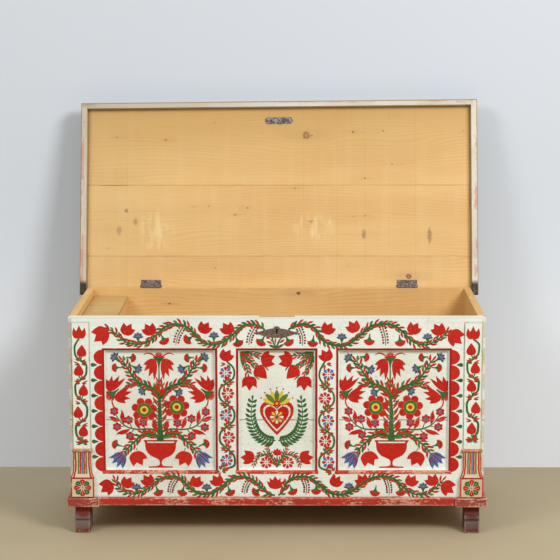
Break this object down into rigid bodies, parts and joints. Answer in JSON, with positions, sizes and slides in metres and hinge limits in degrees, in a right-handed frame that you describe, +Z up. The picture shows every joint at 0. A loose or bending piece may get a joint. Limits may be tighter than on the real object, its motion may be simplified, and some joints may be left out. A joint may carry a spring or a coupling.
{
  "type": "painted chest",
  "caption": "Painted pine chest standing open, with a panelled front, corner pilasters, a till, a lock with its catch and a hinged lid.",
  "frame": {"origin": "on the floor, at the middle of the space that the chest takes up with its lid open", "axes": "+X to the chest's right as seen from its front, +Y to its back, +Z up"},
  "size_m": [1.253, 0.734, 1.2142],
  "materials": {
    "painted_front": "pine painted off-white with red, green, blue and yellow ornament, aged and worn",
    "red_trim": "pine painted red, worn through to the wood on its edges",
    "painted_side": "pine with a plain off-white ground, worn",
    "bare_pine": "bare pine, darkened honey brown with age",
    "wrought_iron": "wrought iron with a thin grey-brown rust skin"
  },
  "bodies": {
    "case": {"front_board_upper": "painted_front", "front_board_lower": "painted_front", "frame_stile_left": "painted_front", "frame_stile_right": "painted_front", "frame_top_rail": "painted_front", "frame_bottom_rail": "painted_front", "frame_muntin_left": "painted_front", "frame_muntin_right": "painted_front", "pilaster_strip_left": "painted_front", "pilaster_strip_right": "painted_front", "pilaster_pedestal_left": "painted_front", "pilaster_pedestal_right": "painted_front", "pilaster_block_left": "painted_front", "pilaster_block_right": "painted_front", "pilaster_bead_left": "red_trim", "pilaster_bead_right": "red_trim", "corner_plinth_left": "red_trim", "corner_plinth_right": "red_trim", "base_moulding_front": "red_trim", "base_moulding_left": "red_trim", "base_moulding_right": "red_trim", "foot_front_left": "red_trim", "foot_front_right": "red_trim", "foot_rear_left": "red_trim", "foot_rear_right": "red_trim", "left_side_upper": "painted_side", "left_side_lower": "painted_side", "right_side_upper": "painted_side", "right_side_lower": "painted_side", "back_board_upper": "bare_pine", "back_board_lower": "bare_pine", "bottom_board_front": "bare_pine", "bottom_board_middle": "bare_pine", "bottom_board_rear": "bare_pine", "till_wall": "bare_pine", "till_bottom": "bare_pine", "till_cleat": "bare_pine", "foot_dowels": "bare_pine", "hinge_case_leaf_left": "wrought_iron", "hinge_case_leaf_right": "wrought_iron", "hinge_pins": "wrought_iron", "hinge_nails_case": "wrought_iron", "lock_case": "wrought_iron", "lock_cover": "wrought_iron", "lock_nails": "wrought_iron", "escutcheon": "wrought_iron", "escutcheon_pins": "wrought_iron"},
    "lid": {"lid_board_rear": "bare_pine", "lid_board_middle": "bare_pine", "lid_board_front": "bare_pine", "lid_rim_left": "painted_side", "lid_rim_right": "painted_side", "lid_rim_front": "painted_side", "hinge_lid_leaf_left": "wrought_iron", "hinge_lid_leaf_right": "wrought_iron", "hinge_nails_lid": "wrought_iron", "catch_plate": "wrought_iron", "catch_nails": "wrought_iron"},
    "till_lid": {"till_lid": "bare_pine"},
    "lock_bolt": {"lock_bolt": "wrought_iron"}
  },
  "joints": [
    {"name": "lid_hinge", "type": "hinge", "parent": "case", "child": "lid", "pos_m": [0, 0.20404, 0.6353], "axis": [1, 0, 0], "range_deg": [0, 103.74]},
    {"name": "till_lid_hinge", "type": "hinge", "parent": "case", "child": "till_lid", "pos_m": [-0.479, -0.068, 0.606], "axis": [0, 1, 0], "range_deg": [0, 180]},
    {"name": "lock_bolt_slide", "type": "slide", "parent": "case", "child": "lock_bolt", "axis": [1, 0, 0], "range_m": [0, 0.012]}
  ]
}
